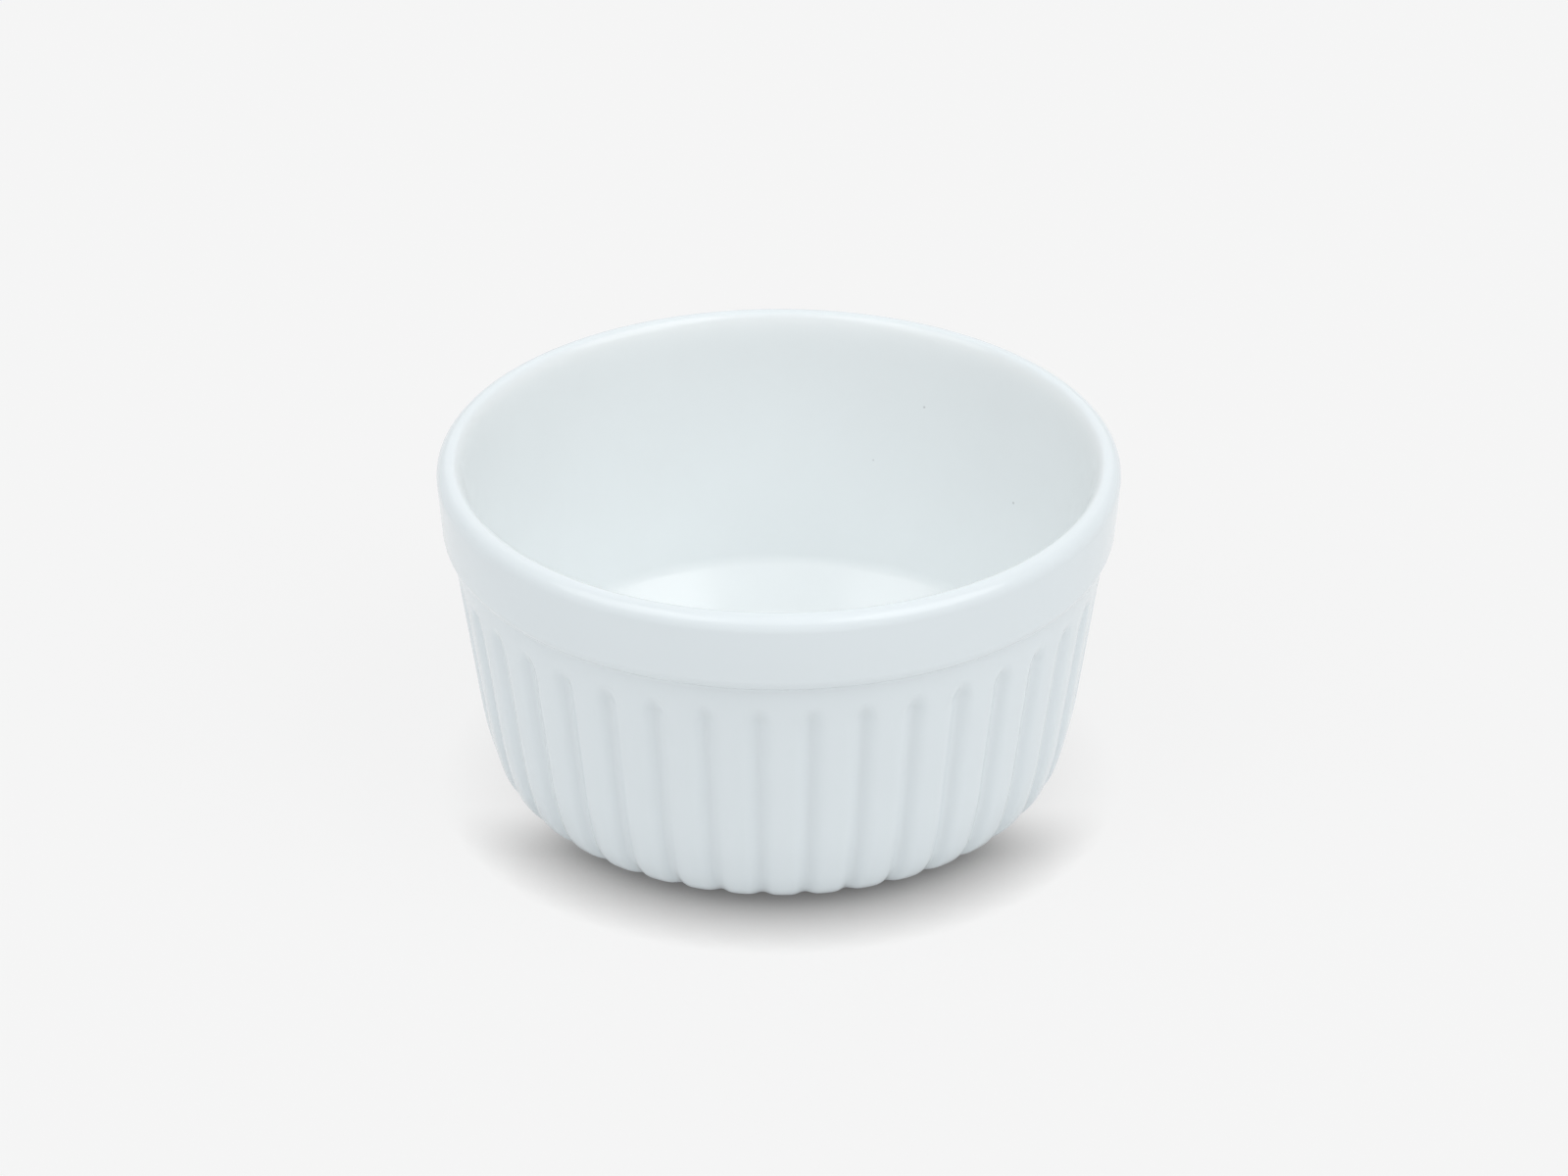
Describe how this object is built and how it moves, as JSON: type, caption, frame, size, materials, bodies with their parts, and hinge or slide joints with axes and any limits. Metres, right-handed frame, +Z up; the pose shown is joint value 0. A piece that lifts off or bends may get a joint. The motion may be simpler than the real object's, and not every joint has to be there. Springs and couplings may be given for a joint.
{
  "type": "ramekin",
  "caption": "Round fluted porcelain ramekin with a plain rim band, a tapered ribbed wall, a deep straight-sided cup and a low foot ring.",
  "frame": {"origin": "centre of the foot ring's resting plane, on the vessel's axis", "axes": "+Z up along the vessel's axis, out of the mouth; one rib is centred 88.9 degrees clockwise from +X, seen from above, and the 39 ribs are evenly spaced from it"},
  "size_m": [0.09, 0.09, 0.0485],
  "materials": {
    "white_porcelain": "gloss",
    "white_glaze": "gloss"
  },
  "bodies": {
    "root": {"porcelain_body": "white_porcelain", "liner_glaze": "white_glaze", "underside_glaze": "white_glaze"}
  },
  "joints": []
}
